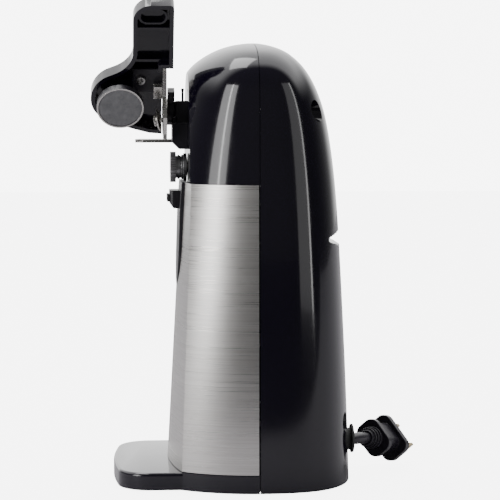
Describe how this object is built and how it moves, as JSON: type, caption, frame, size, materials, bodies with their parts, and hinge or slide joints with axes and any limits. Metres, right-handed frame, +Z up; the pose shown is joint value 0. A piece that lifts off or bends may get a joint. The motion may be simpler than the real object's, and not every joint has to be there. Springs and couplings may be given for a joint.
{
  "type": "electric can opener",
  "caption": "Upright electric can opener with a geared motor drive, a hinged cutting lever with magnet, a knife groove at the back and a stored cord.",
  "frame": {"origin": "on the supporting surface, under the middle of the object's footprint without its cord", "axes": "+Z up, -Y towards the front where the can is held, +X towards the side to which the lever's handle leans"},
  "size_m": [0.12, 0.1715, 0.244],
  "materials": {
    "black_shell": "polished",
    "brushed_stainless": "brushed",
    "black_trim": "satin",
    "bright_steel": "polished",
    "plain_steel": "satin",
    "black_rubber": "matte",
    "magnet_face": "matte",
    "gear_resin": "matte",
    "sintered_bronze": "satin",
    "core_iron": "matte",
    "winding_tape": "matte",
    "stone_grit": "matte",
    "cord_vinyl": "satin",
    "blade_brass": "polished",
    "zinc_screw": "satin"
  },
  "bodies": {
    "housing": {"front_housing": "black_shell", "rear_cover": "black_shell", "steel_wrap": "brushed_stainless", "front_tongue": "black_trim", "base_plate": "black_trim", "rubber_feet": "black_rubber", "base_screws": "zinc_screw", "housing_screws": "zinc_screw", "can_rest": "black_trim", "can_rest_pad": "black_rubber", "can_guide": "bright_steel", "guide_screw": "zinc_screw", "lever_mount": "black_trim", "lever_pivot_pin": "bright_steel", "start_switch": "black_trim", "drive_bushing": "sintered_bronze", "rear_drive_bushing": "sintered_bronze", "front_gear_plate": "plain_steel", "rear_gear_plate": "plain_steel", "gear_pillars": "plain_steel", "gear_axles": "bright_steel", "motor_stack": "core_iron", "coil_bobbin": "gear_resin", "motor_coil": "winding_tape", "motor_bushings": "sintered_bronze", "rear_motor_bracket": "plain_steel", "motor_bolts": "zinc_screw", "motor_spacers": "plain_steel", "motor_hanger": "plain_steel", "cord_outlet": "black_rubber", "cord_coil": "cord_vinyl", "cord_tube": "cord_vinyl", "cord_tie": "cord_vinyl", "cord_anchor": "black_trim", "plug_body": "cord_vinyl", "plug_blades": "blade_brass"},
    "lever": {"lever_shell": "black_shell", "lever_hub": "black_trim", "cutter_plate": "bright_steel", "cutter_plate_screw": "zinc_screw", "cutter_wheel_pin": "bright_steel", "rim_guide": "bright_steel", "magnet_holder": "black_trim", "magnet_pin": "bright_steel"},
    "cutter": {"cutter_wheel": "bright_steel"},
    "magnet": {"magnet_cup": "bright_steel", "magnet_disc": "magnet_face"},
    "motor_rotor": {"rotor": "core_iron", "rotor_shaft": "bright_steel", "motor_pinion": "gear_resin", "cooling_fan": "gear_resin", "grinding_stone": "stone_grit", "stone_collar": "plain_steel"},
    "gear_one": {"first_gear": "gear_resin"},
    "gear_two": {"second_gear": "gear_resin"},
    "can_drive": {"drive_gear": "gear_resin", "drive_shaft": "bright_steel", "drive_wheel": "plain_steel"},
    "plunger": {"switch_plunger": "black_trim"},
    "latch": {"release_latch": "black_trim"}
  },
  "joints": [
    {"name": "lever_hinge", "type": "hinge", "parent": "housing", "child": "lever", "pos_m": [-0.0054, -0.0249, 0.1875], "axis": [0, 1, 0], "range_deg": [0, 57]},
    {"name": "cutter_spin", "type": "hinge", "parent": "lever", "child": "cutter", "pos_m": [0.01079, -0.0316, 0.18342], "axis": [0.1039, 0.9816, 0.16], "continuous": true},
    {"name": "magnet_tilt", "type": "hinge", "parent": "lever", "child": "magnet", "pos_m": [0.00696, -0.0509, 0.19259], "axis": [0.5446, 0, 0.8387], "range_deg": [-6, 6]},
    {"name": "motor_spin", "type": "hinge", "parent": "housing", "child": "motor_rotor", "pos_m": [0, 0.0216, 0.122], "axis": [0, 1, 0], "continuous": true},
    {"name": "gear_one_spin", "type": "hinge", "parent": "housing", "child": "gear_one", "pos_m": [-0.009, 0.0016, 0.13759], "axis": [0, 1, 0], "continuous": true},
    {"name": "gear_two_spin", "type": "hinge", "parent": "housing", "child": "gear_two", "pos_m": [0.01079, -0.0034, 0.13687], "axis": [0, 1, 0], "continuous": true},
    {"name": "can_drive_spin", "type": "hinge", "parent": "housing", "child": "can_drive", "pos_m": [0, -0.0084, 0.1592], "axis": [0, 1, 0], "continuous": true},
    {"name": "plunger_press", "type": "slide", "parent": "housing", "child": "plunger", "axis": [0, 0, -1], "range_m": [0, 0.002], "stiffness_N_per_m": 150},
    {"name": "latch_press", "type": "slide", "parent": "housing", "child": "latch", "axis": [0, 0, -1], "range_m": [0, 0.0015], "stiffness_N_per_m": 200}
  ],
  "couplings": [
    {"joint": "gear_one_spin", "follows": "motor_spin", "ratio": -0.24138},
    {"joint": "gear_two_spin", "follows": "motor_spin", "ratio": 0.064987},
    {"joint": "can_drive_spin", "follows": "motor_spin", "ratio": -0.018954}
  ]
}
